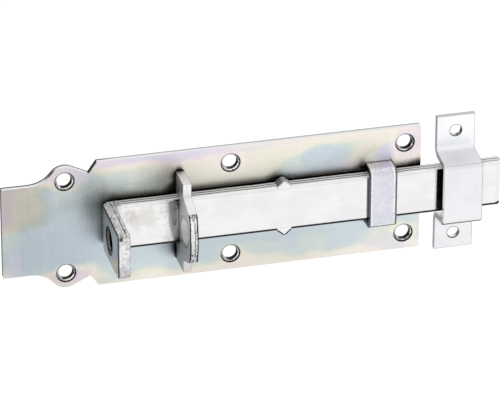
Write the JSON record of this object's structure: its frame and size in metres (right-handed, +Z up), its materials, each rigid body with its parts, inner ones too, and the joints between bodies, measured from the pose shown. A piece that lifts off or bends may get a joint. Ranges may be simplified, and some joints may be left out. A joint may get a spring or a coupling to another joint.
{
  "type": "padbolt",
  "caption": "Heavy flat-bar padbolt on a stamped plate with curved ears, padlock hasp and a separate bridge keep.",
  "frame": {"origin": "back of the base plate, at half its length, on the bolt's centre line", "axes": "+X along the bolt towards the keep, -Y out of the door, +Z up"},
  "size_m": [0.2378, 0.039, 0.0696],
  "materials": {
    "zinc_plate": "satin",
    "zinc_bar": "satin",
    "zinc_hasp": "satin",
    "zinc_guide": "satin",
    "zinc_keep": "satin"
  },
  "bodies": {
    "fixed_parts": {"base_plate": "zinc_plate", "hasp": "zinc_hasp", "bolt_guide": "zinc_guide", "keep": "zinc_keep"},
    "sliding_bolt": {"bolt": "zinc_bar"}
  },
  "joints": [
    {"name": "bolt_slide", "type": "slide", "parent": "fixed_parts", "child": "sliding_bolt", "axis": [1, 0, 0], "range_m": [-0.0428, 0.0294]}
  ]
}
